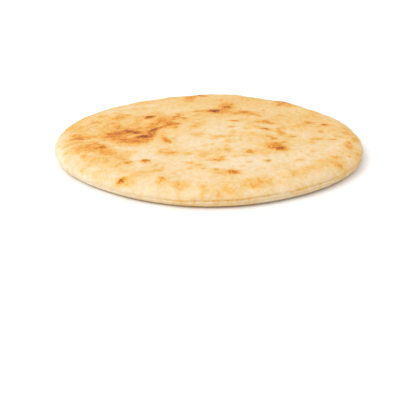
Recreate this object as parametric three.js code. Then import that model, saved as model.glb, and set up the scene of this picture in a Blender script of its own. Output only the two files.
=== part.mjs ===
import * as THREE from "three";

// One round pita bread, baked in one piece: a flat underside, a soft rim with the crease where the
// top and bottom crusts meet, and a gently swollen top.
// Millimetres, +Z up. The origin is on the surface that the bread rests on, under its middle.

// Driving dimensions.
const DIAMETER = 185; // mean width of the bread
const RIM_THICKNESS = 10.2; // from the underside to where the top crust levels off
const CROWN = 2.3; // how far the middle of the top swells above that level
const ROLL_WIDTH = 13; // how far in from the edge the top crust levels off
const UNDERCUT = 7; // how far in from the edge the underside meets the surface
const SEAM_HEIGHT = 4.2; // middle of the crease, above the surface
const SEAM_WIDTH = 1.0; // height of the crease's mouth
const SEAM_DEPTH = 0.6; // how far the crease goes in behind the lip
const LIP_SETBACK = 0.4; // how far the bottom crust's lip stands in from the top crust

// The dough is rolled by hand, so the outline isn't a true circle: each wave adds that many lobes.
const EDGE_WAVES = [
  { lobes: 2, height: 0.6, angle: 77 },
  { lobes: 3, height: 1.1, angle: -156 },
  { lobes: 4, height: 0.8, angle: -45 },
  { lobes: 5, height: 0.2, angle: -54 },
  { lobes: 6, height: 0.3, angle: 156 },
];

// Broad, shallow swells that steam left in the top, each a ripple across the bread.
const TOP_SWELLS = [
  { length: 118, height: 0.4, angle: 25, shift: 14 },
  { length: 76, height: 0.25, angle: 110, shift: -9 },
  { length: 52, height: 0.15, angle: 160, shift: 20 },
];

// How finely the surface is divided.
const SEGMENTS_AROUND = 120;
const SEGMENTS_LIP = 5;
const SEGMENTS_ROLL = 9;
const SEGMENTS_TOP = 7;
const SEGMENTS_UNDERSIDE = 2;

const RADIUS = DIAMETER / 2;
const SEAM_BOTTOM = SEAM_HEIGHT - SEAM_WIDTH / 2;
const SEAM_TOP = SEAM_HEIGHT + SEAM_WIDTH / 2;
const LIP_RADIUS = RADIUS - LIP_SETBACK;
const FOOT_RADIUS = RADIUS - UNDERCUT;
const LEVEL_RADIUS = RADIUS - ROLL_WIDTH;

// A stretch of an ellipse, from one angle to the other in degrees, as THREE.Vector2 points.
function ellipseArc(centreX, centreY, radiusX, radiusY, from, to, segments) {
  const { degToRad } = THREE.MathUtils;
  const turnsBack = to < from;
  const curve = new THREE.EllipseCurve(
    centreX, centreY, radiusX, radiusY, degToRad(from), degToRad(to), turnsBack,
  );
  return curve.getPoints(segments);
}

// Evenly spaced points of a straight line, without its last one.
function straightRun(start, end, segments) {
  return Array.from({ length: segments }, (_, i) => start.clone().lerp(end, i / segments));
}

// Half of the bread's section, from the middle of its underside round the rim to the middle of its top.
function section() {
  const underside = straightRun(
    new THREE.Vector2(0, 0), new THREE.Vector2(FOOT_RADIUS, 0), SEGMENTS_UNDERSIDE,
  );
  const lip = ellipseArc(
    FOOT_RADIUS, SEAM_BOTTOM, LIP_RADIUS - FOOT_RADIUS, SEAM_BOTTOM, -90, 0, SEGMENTS_LIP,
  );
  const crease = [new THREE.Vector2(LIP_RADIUS - SEAM_DEPTH, SEAM_HEIGHT)];
  const roll = ellipseArc(
    LEVEL_RADIUS, SEAM_TOP, ROLL_WIDTH, RIM_THICKNESS - SEAM_TOP, 0, 90, SEGMENTS_ROLL,
  );
  const top = straightRun(
    new THREE.Vector2(LEVEL_RADIUS, RIM_THICKNESS), new THREE.Vector2(0, RIM_THICKNESS), SEGMENTS_TOP,
  );
  const middle = [new THREE.Vector2(0, RIM_THICKNESS)];
  return [...underside, ...lip, ...crease, ...roll, ...top.slice(1), ...middle];
}

// How far the edge stands out from a true circle in a direction.
function edgeOffset(angle) {
  const offsets = EDGE_WAVES.map(
    (wave) => wave.height * Math.cos(wave.lobes * angle - THREE.MathUtils.degToRad(wave.angle)),
  );
  return offsets.reduce((sum, offset) => sum + offset, 0);
}

// How far the top's swells lift it at a place.
function swellAt(x, y) {
  const lifts = TOP_SWELLS.map((swell) => {
    const direction = THREE.MathUtils.degToRad(swell.angle);
    const along = x * Math.cos(direction) + y * Math.sin(direction) - swell.shift;
    return swell.height * Math.cos((2 * Math.PI * along) / swell.length);
  });
  return lifts.reduce((sum, lift) => sum + lift, 0);
}

// Turns a point of the plain turned shape into the hand-made one. The outline's waves fade towards
// the middle, and the crown and swells fade to nothing at the seam, so that the underside stays flat.
function shaped(point) {
  const reach = Math.hypot(point.x, point.y) / RADIUS;
  const angle = Math.atan2(point.y, point.x);
  const spread = 1 + edgeOffset(angle) / RADIUS;
  const above = THREE.MathUtils.clamp((point.z - SEAM_TOP) / (RIM_THICKNESS - SEAM_TOP), 0, 1);
  const lift = CROWN * (1 - reach * reach) + swellAt(point.x, point.y);
  return new THREE.Vector3(point.x * spread, point.y * spread, point.z + lift * above);
}

function breadGeometry() {
  const geometry = new THREE.LatheGeometry(section(), SEGMENTS_AROUND);
  geometry.rotateX(Math.PI / 2); // the lathe turns about Y, and the bread's axis is Z
  const position = geometry.getAttribute("position");
  const point = new THREE.Vector3();
  for (let i = 0; i < position.count; i += 1) {
    point.fromBufferAttribute(position, i);
    position.setXYZ(i, ...shaped(point).toArray());
  }
  geometry.computeBoundingBox();
  const middle = geometry.boundingBox.getCenter(new THREE.Vector3());
  geometry.translate(-middle.x, -middle.y, 0);
  geometry.computeVertexNormals();
  return geometry;
}

const bakedCrust = new THREE.MeshStandardMaterial({ color: 0xf0c68a, roughness: 0.75, metalness: 0 });

const bread = new THREE.Mesh(breadGeometry(), bakedCrust);
bread.name = "pita_bread";

const group = new THREE.Group();
group.add(bread);

export default group;
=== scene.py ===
import itertools
import math

import bpy
import numpy as np
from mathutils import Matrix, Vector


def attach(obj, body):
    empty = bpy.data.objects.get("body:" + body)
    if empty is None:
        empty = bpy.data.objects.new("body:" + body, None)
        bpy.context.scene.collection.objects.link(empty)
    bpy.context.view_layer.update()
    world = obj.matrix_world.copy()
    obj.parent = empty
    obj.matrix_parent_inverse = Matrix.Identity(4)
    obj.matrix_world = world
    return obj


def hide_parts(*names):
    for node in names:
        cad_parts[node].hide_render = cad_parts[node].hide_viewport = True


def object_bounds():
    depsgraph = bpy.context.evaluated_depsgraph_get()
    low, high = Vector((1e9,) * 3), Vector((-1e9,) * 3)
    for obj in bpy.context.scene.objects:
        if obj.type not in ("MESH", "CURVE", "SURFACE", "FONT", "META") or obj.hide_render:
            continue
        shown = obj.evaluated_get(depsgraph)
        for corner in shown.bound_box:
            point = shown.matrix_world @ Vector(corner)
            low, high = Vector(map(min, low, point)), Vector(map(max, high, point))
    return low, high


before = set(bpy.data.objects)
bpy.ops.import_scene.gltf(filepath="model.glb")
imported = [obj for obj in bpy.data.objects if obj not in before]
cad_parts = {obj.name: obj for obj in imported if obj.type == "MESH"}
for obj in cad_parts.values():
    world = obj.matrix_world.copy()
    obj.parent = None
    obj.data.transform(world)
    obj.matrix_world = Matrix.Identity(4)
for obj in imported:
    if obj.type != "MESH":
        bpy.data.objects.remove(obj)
cad_low, cad_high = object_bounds()

# One pita bread: a single closed skin that stands for the CAD's plain one. Each point of it knows
#  how toasted it is, with painted light and shade mixed in, and the crust's colour and roughness
#  follow from that.

MM = 0.001  # a millimetre, in metres

# The bread's section, in millimetres, as a baker would measure it.
RADIUS = 92.5
RIM_THICKNESS = 10.2  # from the underside to where the top crust levels off
CROWN = 2.3  # how far the middle of the top swells above that
ROLL_WIDTH = 13.0  # how far in from the edge the top crust levels off
UNDERCUT = 7.0  # how far in from the edge the underside leaves the surface
WIDEST_HEIGHT = 4.7  # where the rim stands out furthest
LIP_FULLNESS = 2.4  # 2 would make the lip's section an ellipse, and more makes it squarer

# The hand-rolled outline: how many lobes each wave adds, how high they are and where they point.
EDGE_WAVES = [(2, 0.6, 77), (3, 1.1, -156), (4, 0.8, -45), (5, 0.2, -54), (6, 0.3, 156)]

# Broad swells that steam left in the top: length, height, direction in degrees and shift.
TOP_SWELLS = [(118, 0.4, 25, 14), (76, 0.25, 110, -9), (52, 0.15, 160, 20)]

# How high or deep the crust's unevenness is, in millimetres.
WAVE_HEIGHT = 0.40  # broad waves in the top
BUBBLE_HEIGHT = 0.95  # bubbles a centimetre or so across
BLISTER_HEIGHT = 0.30  # blisters under the scorch marks
DIMPLE_HEIGHT = 0.13  # fine unevenness, on the rim too
LUMP_HEIGHT = 0.45  # lumps round the edge of the top
WRINKLE_DEPTH = 0.28  # wrinkles that run along the edge
HOLLOW_DEPTH = 0.7  # hollows in the underside

# The rim, in millimetres. The seam is the crease where the bottom and top crusts meet.
SEAM_HEIGHT = 4.2  # at the front
SEAM_CLIMB = 1.2  # how much higher it runs where the bottom crust is thickest
SEAM_DEPTH = 0.9
LIP_SETBACK = 0.35  # how far the bottom crust stands in from the top crust
RIDGE_HEIGHT = 0.25  # the floury ridge under the seam
SECOND_DEPTH = 0.24  # the second crease, under the ridge
FOLD_DEPTH = 0.12  # a faint fold in the top crust
TICK_DEPTH = 0.12  # short cracks that cross the seam
THICK_SIDE = -35  # the direction where the bottom crust is thickest, in degrees
CLOSED_SIDE = -150  # the direction where the seam closes up, in degrees

# How much more toasted the rim is than the top, from 0 to 1, how much darker the seam's groove
# and the second crease are, partly browning and partly painted shade, and how much paler flour
# makes it.
RIM_TOAST = 0.065
SEAM_TOAST_AND_SHADE = 0.19
SECOND_TOAST_AND_SHADE = 0.08
FLOUR_PALING = 0.24

# How finely the surface is divided. The rings hold eight times GRID_HALF points.
GRID_HALF = 90
ROLL_ROWS = 25
LIP_ROWS = 19

# How a scorch mark fades: out to REACH times its length and width, with a golden halo round it
# that is HALO_SIZE times as large, HALO_DARKNESS times as dark, and laid on at HALO_STRENGTH.
REACH = 0.55
HALO_SIZE = 1.7
HALO_DARKNESS = 0.75
HALO_STRENGTH = 0.45

# The scorch marks on the top crust, in millimetres from its middle: x, y, length, width, the way
# the length points in degrees, and how dark the mark is from 0 to 1.
SCORCHES = [
    # broad golden fields, most of them on the left and towards the far edge
    (-48, -10, 46, 34, 20, 0.38), (-38, 12, 34, 24, 40, 0.34), (-77, 43, 62, 15, 62, 0.41),
    (-87, 8, 26, 9, 82, 0.44), (-84, 24, 12, 8, 75, 0.46),
    (62, 14, 40, 44, 80, 0.33), (10, 60, 90, 30, 0, 0.34), (38, -24, 18, 30, 80, 0.33),
    (4, 26, 28, 20, 0, 0.36),
    # the large speckled patch on the left, a ring open in its middle
    (-57, -14, 14, 12, 60, 0.69), (-47, -8, 16, 8, -20, 0.66), (-53, -9, 9, 6, 20, 0.70),
    (-50, -21, 15, 9, -45, 0.62), (-44, -26, 15, 8, 10, 0.66), (-38, -24, 9, 8, 50, 0.60),
    (-34, -10, 18, 6.5, 80, 0.69), (-38, -11, 10, 5, 0, 0.60), (-39, -18, 10, 6, 0, 0.68),
    (-55, -11, 6, 4, 60, 0.78), (-46, -7.5, 9, 4, -35, 0.84), (-46.5, -8, 5, 4, -35, 0.86),
    (-42, -26, 6, 4, 0, 0.75),
    (-33, -6, 9, 3.5, 65, 0.88), (-34, -14, 7, 4, 100, 0.82), (-38, -18.5, 5.5, 4, 0, 1.0),
    (-50, -2, 18, 9, 0, 0.54), (-56.5, 3.5, 8, 4.5, 100, 0.64), (-40, -3, 12, 6, 0, 0.50),
    # the arm that runs up from it
    (-28, -1, 9, 4, 50, 0.66), (-25, 3, 9, 6, 60, 0.66), (-24, 7, 12, 7, -30, 0.68),
    (-20, 5, 5, 3, 60, 0.74), (-35, 5, 15, 6.5, 75, 0.60), (-30, 14, 14, 7, 80, 0.66),
    (-31, 15, 8, 3, 80, 0.68), (-23, 17, 10, 6, 70, 0.50), (-15, 16, 7, 6, 0, 0.52),
    (-15.5, 17.5, 4, 3, 0, 0.62), (-20, 23, 12, 4, 88, 0.65), (-19, 28, 9, 8, 0, 0.46),
    # the spots above and left of it
    (-38, 22, 6, 6, 0, 1.0), (-33, 25, 4, 5, 0, 0.50), (-45, 24, 6, 8, 0, 0.48),
    (-45, 14, 11, 5, 80, 0.46), (-44, 10, 6, 4, 0, 0.50), (-58, 22, 15, 10, 20, 0.50),
    (-56, 28, 8, 5, 0, 0.50), (-60, 12, 7, 5, 0, 0.54), (-58, 11, 3, 3, 0, 0.60),
    (-72, 13, 7, 6, 0, 0.56), (-70, 26, 7, 5, 0, 0.50), (-61, 33, 7, 4, 0, 0.48),
    (-34, 32, 9, 6, 0, 0.42), (-48, 4, 18, 8, 0, 0.48), (-64, 2, 14, 7, 90, 0.46),
    (-80, 2, 8, 9, 0, 0.48), (-79, -5, 9, 7, 0, 0.46),
    # the streaks between the patch and the left edge
    (-76, -18, 15, 8, 45, 0.54), (-74, -19, 12, 4, 20, 0.63), (-79, -13, 9, 4, 10, 0.60),
    (-67, -15, 10, 3, 5, 0.54), (-74, -27, 13, 3.5, 15, 0.50), (-65, -28, 9, 3, -50, 0.57),
    (-69, -31, 12, 4, 10, 0.53), (-60.5, -35.5, 9, 6, 0, 0.64), (-60.5, -36, 4.5, 4, 0, 0.82),
    (-70, -35, 13, 6, 20, 0.55), (-65, -39, 14, 6, 0, 0.49), (-61, -37, 8, 3, 10, 0.58),
    (-57, -41, 9, 4.5, 10, 0.59), (-54, -45.5, 9, 4.5, -10, 0.60), (-72, -42, 5, 5, 0, 0.48),
    (-68, -46, 8, 4, 90, 0.48), (-50, -47, 13, 8, 0, 0.43), (-58, -53, 14, 13, 0, 0.43),
    (-54, -55, 3.5, 3, 0, 0.56), (-47, -52, 9, 5, -50, 0.46), (-45, -31, 12, 5, 0, 0.46),
    # the front left
    (-42.5, -58, 6, 4, 0, 0.57), (-33, -55, 3.5, 4, 0, 0.78), (-26, -67, 4, 3, 0, 0.52),
    (-35, -71, 11, 6, 10, 0.38), (-42.5, -76.5, 5, 4.5, 0, 0.50), (-43, -76.5, 3, 3, 0, 0.88),
    (-40, -79, 5, 3, -20, 0.40), (-23, -80, 5, 5, 0, 0.48), (-14, -85, 8, 5, 0, 0.46),
    (-43, -69, 4, 3, 0, 0.40), (-20, -45, 6, 4, 0, 0.56), (-25, -44, 6, 6, 0, 0.46),
    (-24, -40, 4, 4, 0, 0.44), (-41, -42.5, 3, 2, 0, 0.44), (-46, -44, 6, 6, 0, 0.40),
    # right of the patch
    (-20, -2, 9, 5, 100, 0.50), (-21, -4, 4, 3, 0, 0.58), (-25, -24, 9, 5, 110, 0.53),
    (-24, -27, 7, 3, -50, 0.66), (-28, -15, 12, 5, 100, 0.44), (-8, 0, 12, 6, 70, 0.44),
    (-11, 11, 10, 10, 0, 0.43), (-4, 7, 8, 4, 60, 0.40), (-8, -17, 8, 7, 0, 0.42),
    # the two dark spots behind the middle, and what lies round them
    (4, 34.5, 9, 6.5, 30, 0.97), (7, 33, 16, 11, 25, 0.62), (12, 45, 8, 6, 60, 0.82),
    (13, 48, 17, 10, 85, 0.56), (-6, 34, 9, 5, 10, 0.59), (24, 34, 8, 5, 0, 0.74),
    (22, 31, 14, 8, 10, 0.57), (15, 32, 9, 4, 0, 0.48), (29, 27, 8, 6, 0, 0.50),
    (32.5, 22.5, 7, 3.5, -70, 0.52), (-8, 23, 5, 5, 0, 0.44), (9, 63, 6, 3, 90, 0.50),
    (48.5, 26.5, 4.5, 3, 0, 0.50), (44.5, 22, 6, 3, 90, 0.42),
    # the far edge
    (-7, 78, 10, 7, 0, 0.72), (-13, 71, 16, 7, 85, 0.60), (-14, 62, 7, 5, 90, 0.55),
    (-25, 73, 8, 4, 0, 0.46), (53, 62, 15, 12, 70, 0.54), (50, 57, 10, 4, 65, 0.62),
    (56, 68, 10, 6, -40, 0.76), (60, 57, 9, 6, 0, 0.54), (66, 28, 14, 9, 80, 0.42),
    (30, 70, 20, 8, 0, 0.44), (-46, 60, 18, 8, 20, 0.42), (72, 40, 14, 6, -60, 0.46),
    # the right half
    (16.5, 10.5, 5, 4, 0, 0.76), (21, 12, 8, 4, 80, 0.40), (34, 9.5, 9, 5, 10, 0.61),
    (38, 7, 9, 4.5, -10, 0.60), (42, 14, 5, 5, 0, 0.40), (26, 6, 10, 5, 80, 0.38),
    (14.5, -2, 4.5, 2.5, 0, 0.50), (34.5, -8, 6, 4.5, -20, 0.68), (34, -7, 3.5, 2.5, 0, 0.80),
    (28.5, -3, 6, 5, 0, 0.44), (24, -5, 5, 5, 0, 0.38), (46.5, -3.5, 5.5, 3, 90, 0.56),
    (43, -6, 7, 3, 70, 0.54), (43, -13, 7.5, 5, 100, 0.58), (48.5, -18, 6.5, 4, 40, 0.52),
    (35, -19, 7, 6, 0, 0.48), (38, -22.5, 5.5, 3.5, 100, 0.62), (34.5, -27, 4, 5, 0, 0.42),
    (42.5, -29, 8, 3, 50, 0.56), (15, -12, 5, 6, 0, 0.40), (25, -16, 9, 8, 0, 0.37),
    (12, -20.5, 8, 3.5, 0, 0.46), (6, -19.5, 5, 3, 0, 0.46), (4, -23, 5, 3, 0, 0.42),
    (11, -28, 5, 4, 0, 0.40), (39.5, -38.5, 7, 6.5, 0, 0.90), (37, -35, 12, 8, 100, 0.62),
    (30, -43, 13, 10, 0, 0.38), (63, 11, 9, 6, 80, 0.52), (60, 6, 11, 5, 60, 0.46),
    (54, 2, 6, 4, 0, 0.44), (68, 4, 5, 3, 0, 0.46), (73, 8.5, 5.5, 4, 40, 0.76),
    (78, 8, 5, 3, 80, 0.48), (85.5, 3, 6, 3, 60, 0.54), (68.5, -5.5, 5, 2.5, 80, 0.56),
    (76, -3, 9, 4, 40, 0.42), (85, -6, 11, 8, 50, 0.44), (77, -13, 7, 4, -40, 0.42),
    (87, -15, 10, 5, 60, 0.48), (64, -19, 8, 4, 40, 0.54), (72.5, -19, 5, 3.5, 0, 0.53),
    (60, -26, 4, 4, 0, 0.44), (82, -24, 5, 2, 80, 0.48), (81, -29, 10, 5, 70, 0.51),
    (58, -41, 3, 4, 0, 0.42), (52, -6, 4, 4, 0, 0.40),
    # the front
    (-2, -33, 3, 2, 0, 0.44), (9.5, -40.5, 5, 5, 0, 0.52), (22.5, -43.5, 5.5, 4.5, 0, 0.62),
    (-1, -46, 5, 4, 0, 0.52), (-3.5, -47.5, 5, 6, 0, 0.42), (-11, -45, 4, 3, 0, 0.48),
    (5.5, -55, 6.5, 3, 0, 0.57), (7, -52, 5, 5, 0, 0.44), (2.5, -54.5, 6, 4, 0, 0.42),
    (-10, -58, 4.5, 2.5, 0, 0.50), (-4, -61.5, 3, 3, 0, 0.48), (-8, -64, 6, 6, 0, 0.37),
    (-2, -67, 3, 3, 0, 0.42), (3.3, -68.5, 3.5, 3, 0, 0.60), (12, -72, 6, 5, 0, 0.74),
    (6, -73, 8, 6, 0, 0.42), (31, -56, 3, 3, 0, 0.58), (21, -58, 4, 3, 0, 0.42),
    (20, -49.5, 5, 2, 0, 0.42), (15, -50, 2, 2, 0, 0.44), (49, -54, 6, 3, 20, 0.42),
    (25, -82, 12, 7, 20, 0.46), (20, -85, 7, 4, 0, 0.42), (8, -89, 9, 3, 10, 0.42),
    (-3, -87, 4, 3, 0, 0.38), (42.5, -74.5, 2.5, 2, 0, 0.52), (46, -71, 12, 5, 30, 0.38),
    (69, -49, 6, 4, 10, 0.48), (69, -57, 4.5, 4, 90, 0.60), (63, -57, 14, 8, 20, 0.42),
    (54, -65, 9, 4, 10, 0.40),
]

# Brown patches where the underside lay on the oven's floor, given as the scorch marks are.
UNDERSIDE_SCORCHES = [
    (-34, 22, 38, 22, 30, 0.62), (30, -28, 44, 20, -20, 0.6), (8, 44, 24, 14, 70, 0.66),
    (-48, -36, 26, 14, 60, 0.58), (52, 30, 20, 12, -50, 0.6), (-8, -62, 26, 10, 5, 0.6),
    (-10, -8, 18, 10, 15, 0.7), (24, 8, 10, 7, 0, 0.76), (-62, 8, 12, 8, 40, 0.7),
    (64, -6, 12, 6, 80, 0.66), (-26, 56, 12, 8, 10, 0.7), (40, -58, 9, 6, 0, 0.74),
]

# The colours that a wheat crust goes through in the oven, from how baked it is, 0 to 1.
CRUST_COLOURS = [
    (0.00, "DBCBB0"),
    (0.14, "DAC19B"),
    (0.28, "D8B67E"),
    (0.40, "D7AA60"),
    (0.52, "D49843"),
    (0.64, "CB812B"),
    (0.76, "BB6918"),
    (0.88, "9E4F11"),
    (1.00, "70340B"),
]

# Where the camera stands, in millimetres, and how far down it looks, in degrees.
CAMERA_PLACE = (-0.3, -343.1, 120.4)
CAMERA_DIP = 25.5


# ---- Numbers and noise ----


def linear_colour(hex_colour):
    """The linear RGBA of an sRGB hex colour: each channel by the sRGB curve, with alpha 1."""
    channels = [int(hex_colour[i:i + 2], 16) / 255 for i in (0, 2, 4)]
    curved = [c / 12.92 if c <= 0.04045 else ((c + 0.055) / 1.055) ** 2.4 for c in channels]
    return (*curved, 1.0)


def eased(value, start, end):
    """0 before start, 1 after end, and the curve 3t^2 - 2t^3 between them."""
    t = np.clip((value - start) / (end - start), 0, 1)
    return t * t * (3 - 2 * t)


def facing(angle, direction, start, end):
    """1 in a direction given in degrees and 0 away from it: the cosine of how far round from it
    each angle is, eased from start to end."""
    return eased(np.cos(angle - math.radians(direction)), start, end)


def strip(above_seam, middle, half_width):
    """A soft strip along the rim: e to the minus d squared, where d is how far a place is from the
    strip's middle, counted in half widths. Heights are above the seam, in millimetres."""
    return np.exp(-(((above_seam - middle) / half_width) ** 2))


def cell_numbers(cells, seed):
    """A fixed number from 0 to 1 for each whole-numbered cell: its three numbers times large
    primes, joined by exclusive or and stirred by shifts and products, all in 32 bits."""
    whole = (cells & 0xFFFFFFFF).astype(np.uint32)
    mixed = np.full(cells.shape[:-1], (seed * 2654435761 + 97) % 2**32, np.uint32)
    for axis, prime in enumerate((73856093, 19349663, 83492791)):
        mixed ^= whole[..., axis] * np.uint32(prime)
        mixed ^= mixed >> np.uint32(16)
        mixed *= np.uint32(0x7FEB352D)
        mixed ^= mixed >> np.uint32(15)
    return mixed / 2.0**32


def soft_noise(points, cell, seed):
    """Smooth noise from -1 to 1. A lattice with that cell size, turned so that its rows follow no
    axis, has a fixed number at each corner, and the eight round a point are blended by the curve
    6t^5 - 15t^4 + 10t^3 along each side."""
    turn, tip = 0.7 + seed, 0.5 + 0.3 * seed
    cos_turn, sin_turn, cos_tip, sin_tip = math.cos(turn), math.sin(turn), math.cos(tip), math.sin(tip)
    about_z = np.array([[cos_turn, -sin_turn, 0], [sin_turn, cos_turn, 0], [0, 0, 1]])
    about_x = np.array([[1, 0, 0], [0, cos_tip, -sin_tip], [0, sin_tip, cos_tip]])
    scaled = points @ (about_z @ about_x) / cell
    corner = np.floor(scaled).astype(np.int64)
    t = scaled - corner
    blend = t**3 * (t * (6 * t - 15) + 10)
    total = np.zeros(len(points))
    for step in itertools.product((0, 1), repeat=3):
        weight = np.prod(np.where(step, blend, 1 - blend), axis=-1)
        total += weight * cell_numbers(corner + np.array(step), seed)
    return 2 * total - 1


def layered_noise(points, cell, layers, seed):
    """Soft noise in layers, each with half the cell size and half the height of the one before,
    over the sum of the heights."""
    heights = [0.5**layer for layer in range(layers)]
    total = sum(h * soft_noise(points, cell * h, seed + 11 * k) for k, h in enumerate(heights))
    return total / sum(heights)


def creases(points, cell, seed):
    """Thin lines where soft noise passes through zero: 1 less 3.5 times the noise's size, or 0
    where that is below 0, squared."""
    return np.clip(1 - 3.5 * np.abs(soft_noise(points, cell, seed)), 0, 1) ** 2


# ---- The bread's skin, before it is shaped ----


def round_grid(half):
    """A square grid of 2 * half + 1 points each way, wrapped onto a disc of radius 1: a point's
    radius is the larger of its two coordinates, and its angle an eighth of a turn times their
    ratio, so square rings become round ones. Returns x and y."""
    side = np.linspace(-1, 1, 2 * half + 1)
    u, v = np.meshgrid(side, side, indexing="ij")
    wide = np.abs(u) >= np.abs(v)
    safe_u, safe_v = np.where(u == 0, 1, u), np.where(v == 0, 1, v)
    eighth = math.pi / 4
    x = np.where(wide, u * np.cos(eighth * v / safe_u), v * np.sin(eighth * u / safe_v))
    y = np.where(wide, u * np.sin(eighth * v / safe_u), v * np.cos(eighth * u / safe_v))
    return x.ravel(), y.ravel()


def grid_indices(half):
    """The number of each point of a round grid, as a square table."""
    across = 2 * half + 1
    return np.arange(across**2).reshape(across, across)


def grid_edge(half):
    """The indices of the grid's outer points, in order round it from the corner at -45 degrees."""
    index = grid_indices(half)
    n = 2 * half
    return np.concatenate([index[n, :n], index[::-1, n][:n], index[0, ::-1][:n], index[:n, 0]])


def quads_of_grid(half, facing_up):
    """The square faces of a grid, facing up or down."""
    index = grid_indices(half)
    corners = [index[:-1, :-1], index[1:, :-1], index[1:, 1:], index[:-1, 1:]]
    faces = np.stack([c.ravel() for c in corners], axis=1)
    return faces if facing_up else faces[:, ::-1]


def quads_between(upper, lower):
    """The faces between two closed rings of points, facing away from their middle."""
    return np.stack([upper, lower, np.roll(lower, -1), np.roll(upper, -1)], axis=1)


def bread_layout():
    """The bread before it is shaped, as one closed skin: a round grid for the top, rows of points
    that follow a quarter ellipse out and down to the widest place and a squarer one in and down to
    the foot, and a round grid for the underside. Returns for each point its radius, angle and height
    and the two parts, outward and up, of its section's normal, and then the faces."""
    level = RADIUS - ROLL_WIDTH
    foot = RADIUS - UNDERCUT
    grid_x, grid_y = round_grid(GRID_HALF)
    grid_radius, grid_angle = np.hypot(grid_x, grid_y), np.arctan2(grid_y, grid_x)
    edge = grid_edge(GRID_HALF)

    roll = np.linspace(math.pi / 2, 0, ROLL_ROWS + 1)[1:]
    lip = np.linspace(0, math.pi / 2, LIP_ROWS + 2)[1:-1]
    roll_height = RIM_THICKNESS - WIDEST_HEIGHT
    lip_out, lip_down = np.cos(lip) ** (2 / LIP_FULLNESS), np.sin(lip) ** (2 / LIP_FULLNESS)
    lip_slope = LIP_FULLNESS - 1
    row_radius = np.concatenate([level + ROLL_WIDTH * np.cos(roll), foot + UNDERCUT * lip_out])
    row_height = np.concatenate([
        WIDEST_HEIGHT + roll_height * np.sin(roll), WIDEST_HEIGHT * (1 - lip_down),
    ])
    out = np.concatenate([np.cos(roll) / ROLL_WIDTH, lip_out**lip_slope / UNDERCUT])
    up = np.concatenate([np.sin(roll) / roll_height, -(lip_down**lip_slope) / WIDEST_HEIGHT])
    length = np.hypot(out, up)

    rows, columns, grid = len(row_radius), len(edge), len(grid_x)

    def whole_skin(on_top, on_rows, underneath):
        """One value for each point, from the top's, each row's and the underside's."""
        return np.concatenate([
            np.broadcast_to(on_top, grid), np.repeat(on_rows, columns), np.broadcast_to(underneath, grid),
        ])

    radius = whole_skin(grid_radius * level, row_radius, grid_radius * foot)
    angle = np.concatenate([grid_angle, np.tile(grid_angle[edge], rows), grid_angle])
    height = whole_skin(RIM_THICKNESS, row_height, 0.0)
    outward = whole_skin(0.0, out / length, 0.0)
    upward = whole_skin(1.0, up / length, -1.0)

    rings = [edge]
    rings += [grid + row * columns + np.arange(columns) for row in range(rows)]
    rings += [grid + rows * columns + edge]
    faces = [quads_of_grid(GRID_HALF, facing_up=True)]
    faces += [quads_between(upper, lower) for upper, lower in zip(rings, rings[1:])]
    faces += [quads_of_grid(GRID_HALF, facing_up=False) + grid + rows * columns]
    return radius, angle, height, outward, upward, np.concatenate(faces)


# ---- How toasted the crust is, with painted light and shade mixed in ----


def scorch_cover(x, y, mark, swollen=1.0):
    """How much of a scorch mark lies at each place: e to the minus d cubed, where d is the
    distance from its middle, counted in reaches, which are a little over half its length along
    it and a little over half its width across it."""
    middle_x, middle_y, length, width, turn, _ = mark
    along_x, along_y = x - middle_x, y - middle_y
    cos, sin = math.cos(math.radians(turn)), math.sin(math.radians(turn))
    lengthwise = (along_x * cos + along_y * sin) / (REACH * length * swollen)
    crosswise = (along_y * cos - along_x * sin) / (REACH * width * swollen)
    return np.exp(-((lengthwise**2 + crosswise**2) ** 1.5))


def scorched(toast_and_painted_light, points, marks, where):
    """Bakes the marks into how toasted each point is: the golden halos first, then the marks
    themselves, each moving a point towards its own darkness and never back to a paler one. Noise
    in two sizes pushes the places about by up to 1.6 mm, so that no mark has an even edge."""
    push = 0.8
    x = points[:, 0] + push * soft_noise(points, 2.6, 41) + push * soft_noise(points, 7.0, 43)
    y = points[:, 1] + push * soft_noise(points, 2.6, 47) + push * soft_noise(points, 7.0, 53)
    for mark in marks:
        golden = HALO_DARKNESS * mark[-1]
        halo = scorch_cover(x, y, mark, swollen=HALO_SIZE) * where
        toast_and_painted_light = toast_and_painted_light + np.maximum(golden - toast_and_painted_light, 0) * halo * HALO_STRENGTH
    for mark in marks:
        toast_and_painted_light = toast_and_painted_light + np.maximum(mark[-1] - toast_and_painted_light, 0) * scorch_cover(x, y, mark) * where
    return toast_and_painted_light


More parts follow.
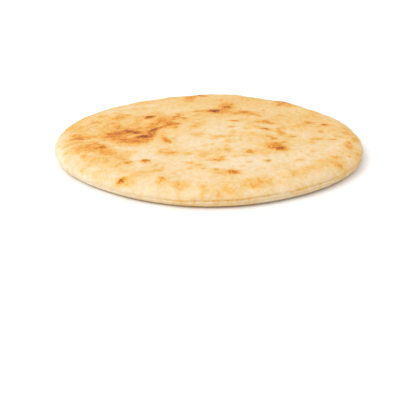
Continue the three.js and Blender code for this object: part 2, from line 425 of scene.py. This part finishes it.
def toast_and_painted_light_of(points, upward):
    """How baked the crust is, 0 to 1, with painted light mixed in: a creamy ground with golden
    mottling, freckles and streaks, partly painted light in its slope, a painted highlight on the rim
    at the front left, a darker underside, the scorch marks of the top and the underside, and then
    some unevenness where it is golden or darker."""
    top, under = eased(upward, 0.02, 0.3), eased(-upward, 0.55, 0.95)
    x, y = points[:, 0], points[:, 1]

    # the ground, partly the crust's own tone and partly painted light: paler by the left edge,
    # which faces the lamps, and darker towards the back and the right, away from them
    toast_and_painted_light = 0.19 + 0.0003 * x + 0.0007 * y - 0.05 * eased(-x, 35, 70)

    # mottling in two sizes, the smaller one strongest on the left
    toast_and_painted_light += 0.16 * layered_noise(points, cell=19, layers=2, seed=3)
    toast_and_painted_light += (0.05 + 0.15 * eased(-x, 20, 60)) * layered_noise(points, cell=5.5, layers=2, seed=5)

    # small freckles where fine noise peaks
    toast_and_painted_light += 0.45 * np.clip(soft_noise(points, cell=3.2, seed=7) - 0.5, 0, 1) * (0.3 + 0.7 * top)

    # a painted highlight: a paler rim at the front left, the side that faces the lamps
    painted_rim_highlight = eased(1 - upward, 0.06, 0.5) * eased(-x, 0, 70) * eased(-y, -8, 25) * (1 - under)
    toast_and_painted_light -= 0.10 * painted_rim_highlight

    # slanting streaks by the left edge, where the dough was pinched: noise drawn out along them
    along, across = x + 0.3 * y, y - 0.3 * x
    stretched = np.stack([along / 5, across / 1.3, points[:, 2] / 3], axis=1)
    by_left_edge = eased(-x, 46, 66) * eased(38 - np.abs(y + 14), 0, 14) * top
    toast_and_painted_light += 0.26 * soft_noise(stretched, cell=1.0, seed=15) * by_left_edge

    toast_and_painted_light += under * (0.14 + 0.12 * layered_noise(points, cell=26, layers=3, seed=9))
    toast_and_painted_light = scorched(toast_and_painted_light, points, SCORCHES, top)
    toast_and_painted_light = scorched(toast_and_painted_light, points, UNDERSIDE_SCORCHES, under)
    return toast_and_painted_light + 0.11 * layered_noise(points, cell=4.2, layers=2, seed=21) * eased(toast_and_painted_light, 0.3, 0.55)


# ---- The bread's shape ----


def outline_offset(angle):
    """How far the hand-rolled edge stands out from a circle: the sum of the edge waves' cosines."""
    return sum(
        height * np.cos(lobes * angle - math.radians(turn)) for lobes, height, turn in EDGE_WAVES
    )


def top_swell(x, y):
    """The height of the steam's broad swells: a cosine across the bread for each of them."""
    total = np.zeros(len(x))
    for length, height, direction, shift in TOP_SWELLS:
        along = x * math.cos(math.radians(direction)) + y * math.sin(math.radians(direction)) - shift
        total += height * np.cos(2 * math.pi * along / length)
    return total


def raised(circle, lift):
    """Points of a circle moved up by a lift of their own, for noise that changes that way too."""
    return circle + np.stack([np.zeros(len(lift)), np.zeros(len(lift)), lift], axis=1)


def spread_points(radius, angle, height):
    """The layout's points after the dough is rolled and baked: spread sideways by the outline's
    waves and centred, and lifted by the crown, 1 less the square of the radius, and the swells,
    from nothing at the widest place to all of it at the top."""
    spread = 1 + outline_offset(angle) / RADIUS
    flat_x, flat_y = radius * np.cos(angle), radius * np.sin(angle)
    x, y = flat_x * spread, flat_y * spread
    x -= (x.min() + x.max()) / 2
    y -= (y.min() + y.max()) / 2
    above = np.clip((height - WIDEST_HEIGHT) / (RIM_THICKNESS - WIDEST_HEIGHT), 0, 1)
    z = height + above * (CROWN * (1 - (radius / RADIUS) ** 2) + top_swell(flat_x, flat_y))
    return np.stack([x, y, z], axis=1)


def top_relief(points, circle, radius, upward, toast_and_painted_light):
    """How far the top crust stands out: the sum of broad waves, bubbles where noise peaks, a
    blister under each scorch mark, fine unevenness and lumps round the edge, less wrinkles that
    run along the edge and are deepest on the left, where the dough was pinched."""
    x, y, z = points.T
    top = np.clip(upward, 0, 1)
    relief = WAVE_HEIGHT * layered_noise(points, cell=34, layers=2, seed=13) * top
    bubbles = np.clip(layered_noise(points, cell=12, layers=2, seed=17) - 0.12, 0, 1)
    relief += BUBBLE_HEIGHT * bubbles * top
    relief += BLISTER_HEIGHT * eased(toast_and_painted_light, 0.45, 0.9) * top
    dimples = layered_noise(points, cell=4.5, layers=2, seed=19)
    relief += DIMPLE_HEIGHT * dimples * (1 - eased(-upward, 0.5, 0.9))
    lumps = layered_noise(points, cell=9, layers=2, seed=89)
    relief += LUMP_HEIGHT * lumps * eased(radius, 66, 84) * top

    ribbon = raised(circle / 9.0, radius / 2.6 + z / 2.0)
    pinched = eased(radius, 58, 74) * eased(-x, 40, 66) * eased(60 - np.abs(y + 8), 0, 30)
    wrinkled = np.maximum(0.9 * pinched, 0.25 * eased(radius, 74, 86))
    return relief - WRINKLE_DEPTH * creases(ribbon, cell=1.0, seed=23) * wrinkled * top


def rim_relief(circle, angle, z, upward):
    """How far the rim stands out, and how much more toasted and shaded it is: the sum of bumps all
    round, of soft strips that follow the seam, and of the bottom crust's setback with its own waves.
    The seam wanders up and down and closes up on one side. Under its groove come a floury ridge and
    a second crease, a faint fold runs above it, and short cracks cross it. The darkening in the
    groove and the second crease is partly browning and partly painted shade."""
    side = 1 - np.abs(upward)
    thick = facing(angle, THICK_SIDE, 0.3, 0.95)
    opened = 1 - 0.85 * facing(angle, CLOSED_SIDE, 0.6, 0.9)
    seam = SEAM_HEIGHT + SEAM_CLIMB * thick + 0.3 * soft_noise(circle, cell=22, seed=37)
    above_seam = z - seam

    groove = strip(above_seam, middle=0, half_width=0.36 + 0.16 * thick) * side * opened
    ridge = strip(above_seam, middle=-0.9, half_width=0.45) * side * opened
    second = strip(above_seam, middle=-1.9, half_width=0.3) * side
    second *= np.maximum(thick, opened * eased(soft_noise(circle, cell=20, seed=61), -0.2, 0.5))
    fold = strip(above_seam, middle=1.3, half_width=0.3) * side
    fold *= eased(soft_noise(circle, cell=16, seed=71), -0.3, 0.5)
    ticks = strip(above_seam, middle=-0.6, half_width=1.3) * side
    ticks *= creases(raised(circle / 1.5, z / 4.0), cell=1.0, seed=73)
    flour = ridge * eased(soft_noise(circle, cell=1.7, seed=97), -0.2, 0.5)

    bumps = 0.5 * soft_noise(circle, cell=9, seed=29) + 0.3 * soft_noise(circle, cell=3.6, seed=31)
    lip_waves = 0.25 * soft_noise(circle, cell=13, seed=83)
    lip_waves += 0.14 * soft_noise(circle, cell=3.6, seed=67)
    relief = bumps * side
    relief -= SEAM_DEPTH * (0.65 + 0.5 * soft_noise(circle, cell=14, seed=59)) * groove
    relief -= SECOND_DEPTH * second
    relief += RIDGE_HEIGHT * ridge
    relief += eased(-above_seam, -0.1, 0.5) * side * (lip_waves - LIP_SETBACK)
    relief -= FOLD_DEPTH * fold + TICK_DEPTH * ticks

    # the seam's groove and the second crease are darkened partly by browning and partly as painted shade
    rim_toast_and_shade = RIM_TOAST * side * opened + SEAM_TOAST_AND_SHADE * groove + SECOND_TOAST_AND_SHADE * second
    rim_toast_and_shade -= FLOUR_PALING * flour
    return relief, rim_toast_and_shade


def bread_shape():
    """The finished skin, in metres, its faces and how toasted it is, with painted light and shade
    mixed in. Each point moves along its section's normal by the relief of the top and the rim, and
    the underside is hollowed inside the ring that it rests on. Nothing goes below the surface under it."""
    radius, angle, height, outward, upward, faces = bread_layout()
    points = spread_points(radius, angle, height)
    circle = np.stack([RADIUS * np.cos(angle), RADIUS * np.sin(angle), np.zeros(len(angle))], axis=1)
    toast_and_painted_light = toast_and_painted_light_of(points, upward)

    x, y, z = points.T
    relief, rim_toast_and_shade = rim_relief(circle, angle, z, upward)
    relief = top_relief(points, circle, radius, upward, toast_and_painted_light) + relief
    hollows = np.clip(layered_noise(points, cell=20, layers=3, seed=79) - 0.02, 0, 1)
    hollows *= eased(-upward, 0.9, 1.0) * (1 - eased(radius, 66, 82))

    x = x + relief * outward * np.cos(angle)
    y = y + relief * outward * np.sin(angle)
    z = z + relief * np.maximum(upward, 0) + HOLLOW_DEPTH * hollows
    return np.stack([x, y, np.maximum(z, 0)], axis=1) * MM, faces, np.clip(toast_and_painted_light + rim_toast_and_shade, 0, 1)


def make_bread():
    """The bread as one mesh, with how toasted each point is, painted light and shade included, kept
    as the attribute toast_and_painted_light.
    """
    points, faces, toast_and_painted_light = bread_shape()
    mesh = bpy.data.meshes.new("baked_pita")
    mesh.from_pydata(points.tolist(), [], faces.tolist())
    mesh.attributes.new("toast_and_painted_light", "FLOAT", "POINT").data.foreach_set("value", toast_and_painted_light)
    mesh.polygons.foreach_set("use_smooth", np.ones(len(faces), bool))
    mesh.update()
    bread = bpy.data.objects.new("baked_pita", mesh)
    bpy.context.scene.collection.objects.link(bread)
    return bread


# ---- Materials ----


def add_node(tree, kind, settings=None, inputs=None):
    """Adds a node, sets its properties, and gives each named or numbered input a value or, where
    it is given another node's output, a link."""
    node = tree.nodes.new(kind)
    for name, value in (settings or {}).items():
        setattr(node, name, value)
    for name, value in (inputs or {}).items():
        if isinstance(value, bpy.types.NodeSocket):
            tree.links.new(value, node.inputs[name])
        else:
            node.inputs[name].default_value = value
    return node


def new_material(name):
    """An empty node material and its output."""
    material = bpy.data.materials.new(name)
    material.use_nodes = True
    material.node_tree.nodes.clear()
    return material, add_node(material.node_tree, "ShaderNodeOutputMaterial")


def baked_wheat_crust():
    """Soft wheat crust, baked on a hot floor: dry and dull, cream where it is floury, golden and
    then speckled brown where blisters touched the heat, with a fine dusty grain all over."""
    material, output = new_material("baked_wheat_crust")
    tree = material.node_tree
    # the attribute holds how toasted the crust is, with painted light and shade mixed in
    toast_and_painted_light = add_node(tree, "ShaderNodeAttribute", {"attribute_name": "toast_and_painted_light"}).outputs["Fac"]

    # the layers of a noise line up at its origin, so that is moved out of the bread
    place = add_node(tree, "ShaderNodeMapping", None, {
        "Vector": add_node(tree, "ShaderNodeTexCoord").outputs["Object"],
        "Location": (0.137, 0.153, 0.171),
    }).outputs["Vector"]

    # blisters are about 3 mm across and their brown specks about 1 mm; flour dust is too fine to
    # show, so its grain is drawn 0.7 mm across
    blotches, speckles, grain = (
        add_node(tree, "ShaderNodeTexNoise", None, {
            "Vector": place, "Scale": 1 / (size * MM), "Detail": detail, "Roughness": roughness,
        }).outputs["Fac"]
        for size, detail, roughness in ((3.2, 3.0, 0.6), (1.3, 2.0, 0.6), (0.7, 2.0, 0.7))
    )

    # each noise shifts how baked the crust looks, and the speckles most where it is brown
    speckle_reach = add_node(tree, "ShaderNodeMapRange", None, {
        "Value": toast_and_painted_light, "From Min": 0.2, "From Max": 0.6, "To Min": 0.13, "To Max": 0.42,
    }).outputs["Result"]
    detailed_toast_and_painted_light = toast_and_painted_light
    for noise, reach in ((blotches, 0.24), (speckles, speckle_reach), (grain, 0.14)):
        shift = add_node(tree, "ShaderNodeMapRange", {"clamp": False}, {
            "Value": noise, "From Min": 0.5, "From Max": 1.0, "To Min": 0.0, "To Max": reach,
        }).outputs["Result"]
        detailed_toast_and_painted_light = add_node(tree, "ShaderNodeMath", {"operation": "ADD"}, {0: detailed_toast_and_painted_light, 1: shift}).outputs[0]

    colours = add_node(tree, "ShaderNodeValToRGB", None, {"Fac": detailed_toast_and_painted_light})
    stops = colours.color_ramp.elements
    while len(stops) < len(CRUST_COLOURS):
        stops.new(1.0)
    for stop, (position, hex_colour) in zip(stops, CRUST_COLOURS):
        stop.position = position
        stop.color = linear_colour(hex_colour)

    # browned crust is a little smoother than floury crust
    roughness = add_node(tree, "ShaderNodeMapRange", None, {
        "Value": detailed_toast_and_painted_light, "From Min": 0.1, "From Max": 0.9, "To Min": 0.82, "To Max": 0.6,
    }).outputs["Result"]
    dimples = add_node(tree, "ShaderNodeBump", None, {
        "Height": blotches, "Strength": 0.35, "Distance": 0.35 * MM,
    }).outputs["Normal"]
    pits = add_node(tree, "ShaderNodeBump", None, {
        "Height": speckles, "Strength": 0.4, "Distance": 0.15 * MM, "Normal": dimples,
    }).outputs["Normal"]
    dust = add_node(tree, "ShaderNodeBump", None, {
        "Height": grain, "Strength": 0.35, "Distance": 0.08 * MM, "Normal": pits,
    }).outputs["Normal"]
    surface = add_node(tree, "ShaderNodeBsdfPrincipled", None, {
        "Base Color": colours.outputs["Color"],
        "Roughness": roughness,
        "Normal": dust,
        "IOR": 1.45,
        "Specular IOR Level": 0.2,
        "Subsurface Weight": 0.12,
        "Subsurface Radius": (1.0, 0.55, 0.25),
        "Subsurface Scale": 1.5 * MM,
    })
    tree.links.new(surface.outputs["BSDF"], output.inputs["Surface"])
    return material


def matt_white_board():
    """Matt painted board for the floor: pale, even and without a shine."""
    material, output = new_material("matt_white_board")
    surface = add_node(material.node_tree, "ShaderNodeBsdfPrincipled", None, {
        "Base Color": linear_colour("EEEEEE"), "Roughness": 0.9, "Specular IOR Level": 0.1,
    })
    material.node_tree.links.new(surface.outputs["BSDF"], output.inputs["Surface"])
    return material


# ---- Camera, floor and light ----


def make_camera():
    """A 50 mm lens on a full-width frame, in front of the bread and looking down on it."""
    camera = bpy.data.objects.new("camera", bpy.data.cameras.new("camera"))
    camera.data.lens = 50
    camera.data.sensor_width = 36
    camera.data.clip_start = 0.01
    camera.location = [part * MM for part in CAMERA_PLACE]
    camera.rotation_euler = (math.radians(90 - CAMERA_DIP), 0, 0)
    bpy.context.scene.collection.objects.link(camera)
    bpy.context.scene.camera = camera


def make_floor():
    """A board 12 m square, with its top where the bread's underside is."""
    half = 6.0
    top = cad_low.z
    mesh = bpy.data.meshes.new("floor")
    corners = [(-half, -half, top), (half, -half, top), (half, half, top), (-half, half, top)]
    mesh.from_pydata(corners, [], [(0, 1, 2, 3)])
    mesh.materials.append(matt_white_board())
    floor = bpy.data.objects.new("floor", mesh)
    bpy.context.scene.collection.objects.link(floor)


def make_lamp(name, kind, place, strength, colour):
    """A lamp of the given kind, at a place in metres, that faces the middle of the bread."""
    lamp = bpy.data.lights.new(name, kind)
    lamp.energy = strength
    lamp.color = linear_colour(colour)[:3]
    light = bpy.data.objects.new(name, lamp)
    light.location = place
    lean = math.atan2(math.hypot(place[0], place[1]), place[2])
    light.rotation_euler = (lean, 0, math.atan2(place[1], place[0]) + math.pi / 2)
    bpy.context.scene.collection.objects.link(light)
    return lamp


def make_light():
    """Even white light from all round, a broad distant one from the front on the left, and a
    softbox above the bread on the left, which makes that side a little brighter."""
    world = bpy.data.worlds.new("white_room")
    world.use_nodes = True
    background = world.node_tree.nodes["Background"]
    background.inputs["Color"].default_value = linear_colour("FFFFFF")
    background.inputs["Strength"].default_value = 1.0
    bpy.context.scene.world = world
    far_light = make_lamp("far_light", "SUN", (-0.8, -0.6, 0.9), 1.0, "FFFFFF")
    far_light.angle = math.radians(40)
    near_softbox = make_lamp("near_softbox", "AREA", (-0.30, -0.18, 0.46), 0.65, "FFFEFB")
    near_softbox.size = 0.35


make_camera()
make_light()
make_floor()

bread = make_bread()
bread.data.materials.append(baked_wheat_crust())
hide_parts("pita_bread")
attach(bread, "root")

# White paper should look white, so colours are shown as they are, with no film curve.
bpy.context.scene.view_settings.view_transform = "Standard"
